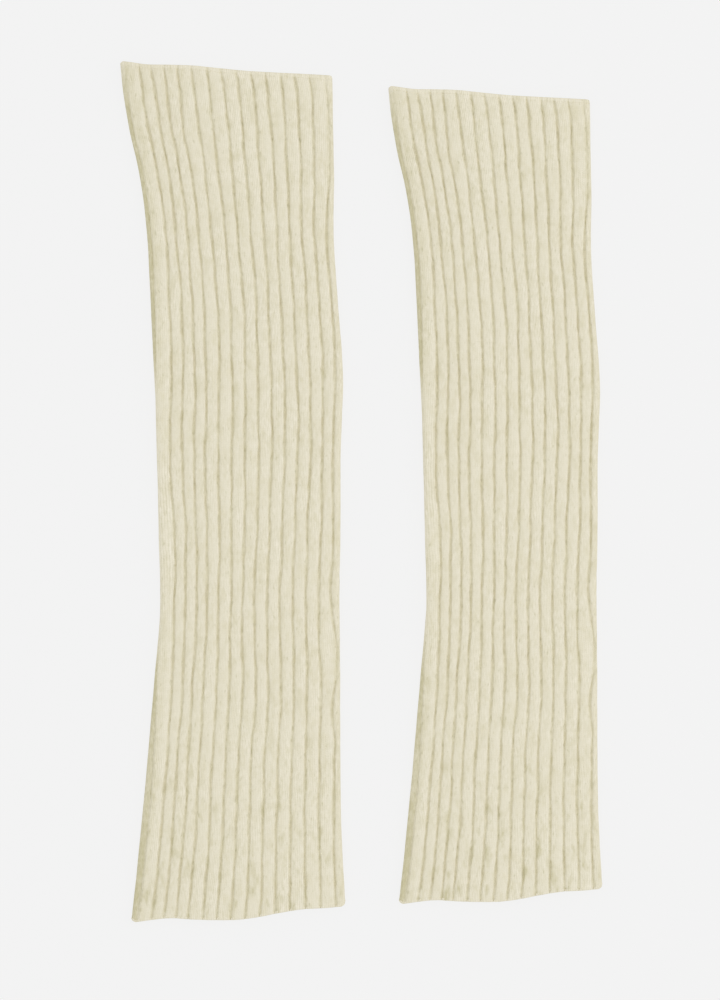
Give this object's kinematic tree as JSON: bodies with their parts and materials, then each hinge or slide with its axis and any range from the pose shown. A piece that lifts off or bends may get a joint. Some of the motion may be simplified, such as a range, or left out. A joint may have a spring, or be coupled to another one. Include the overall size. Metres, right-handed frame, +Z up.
{
  "type": "pair of leg warmers",
  "caption": "Long ribbed knit tubes for the lower legs, laid flat side by side, flared at both ends, with a narrow bound-off edge at the top.",
  "frame": {"origin": "under the middle of the pair, on the surface that both lie on", "axes": "+X to the right as seen from above, +Y up the leg from the hems to the bound-off tops, +Z up off the surface"},
  "size_m": [0.3098, 0.5518, 0.0078],
  "materials": {
    "rib_knit": "soft matte rib knit, cream",
    "bound_off_edge": "soft matte chained edge of the same yarn"
  },
  "bodies": {
    "root": {"knit_tube_left": "rib_knit", "bound_off_band_left": "bound_off_edge", "knit_tube_right": "rib_knit", "bound_off_band_right": "bound_off_edge"}
  },
  "joints": []
}
